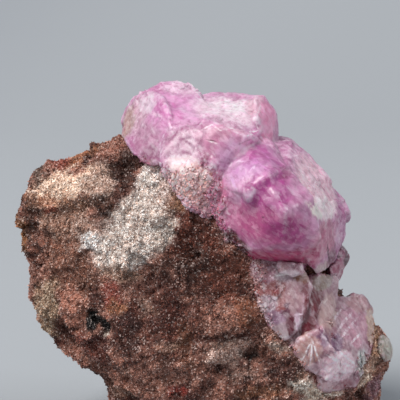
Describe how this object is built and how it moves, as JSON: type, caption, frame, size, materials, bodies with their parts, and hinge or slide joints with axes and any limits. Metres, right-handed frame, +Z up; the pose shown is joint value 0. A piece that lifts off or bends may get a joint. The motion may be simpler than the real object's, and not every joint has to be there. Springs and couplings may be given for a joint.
{
  "type": "cobaltoan calcite specimen",
  "caption": "Hand specimen of pink cobaltoan calcite crystals grown into a brown sugary host rock, cut flat underneath so that it stands upright.",
  "frame": {"origin": "middle of the foot plane, under the middle of the specimen's box", "axes": "+Z up out of the foot; the crystal face that shows best looks along -Y; +X to the right of it, along the specimen's width"},
  "size_m": [0.06, 0.04, 0.057],
  "materials": {
    "host_rock": null,
    "upper_calcite": null,
    "lower_calcite": null,
    "edge_crystal": null,
    "rim_plate": null
  },
  "bodies": {
    "root": {"host_rock": "host_rock", "upper_calcite": "upper_calcite", "lower_calcite": "lower_calcite", "edge_crystal": "edge_crystal", "rim_plate": "rim_plate"}
  },
  "joints": []
}
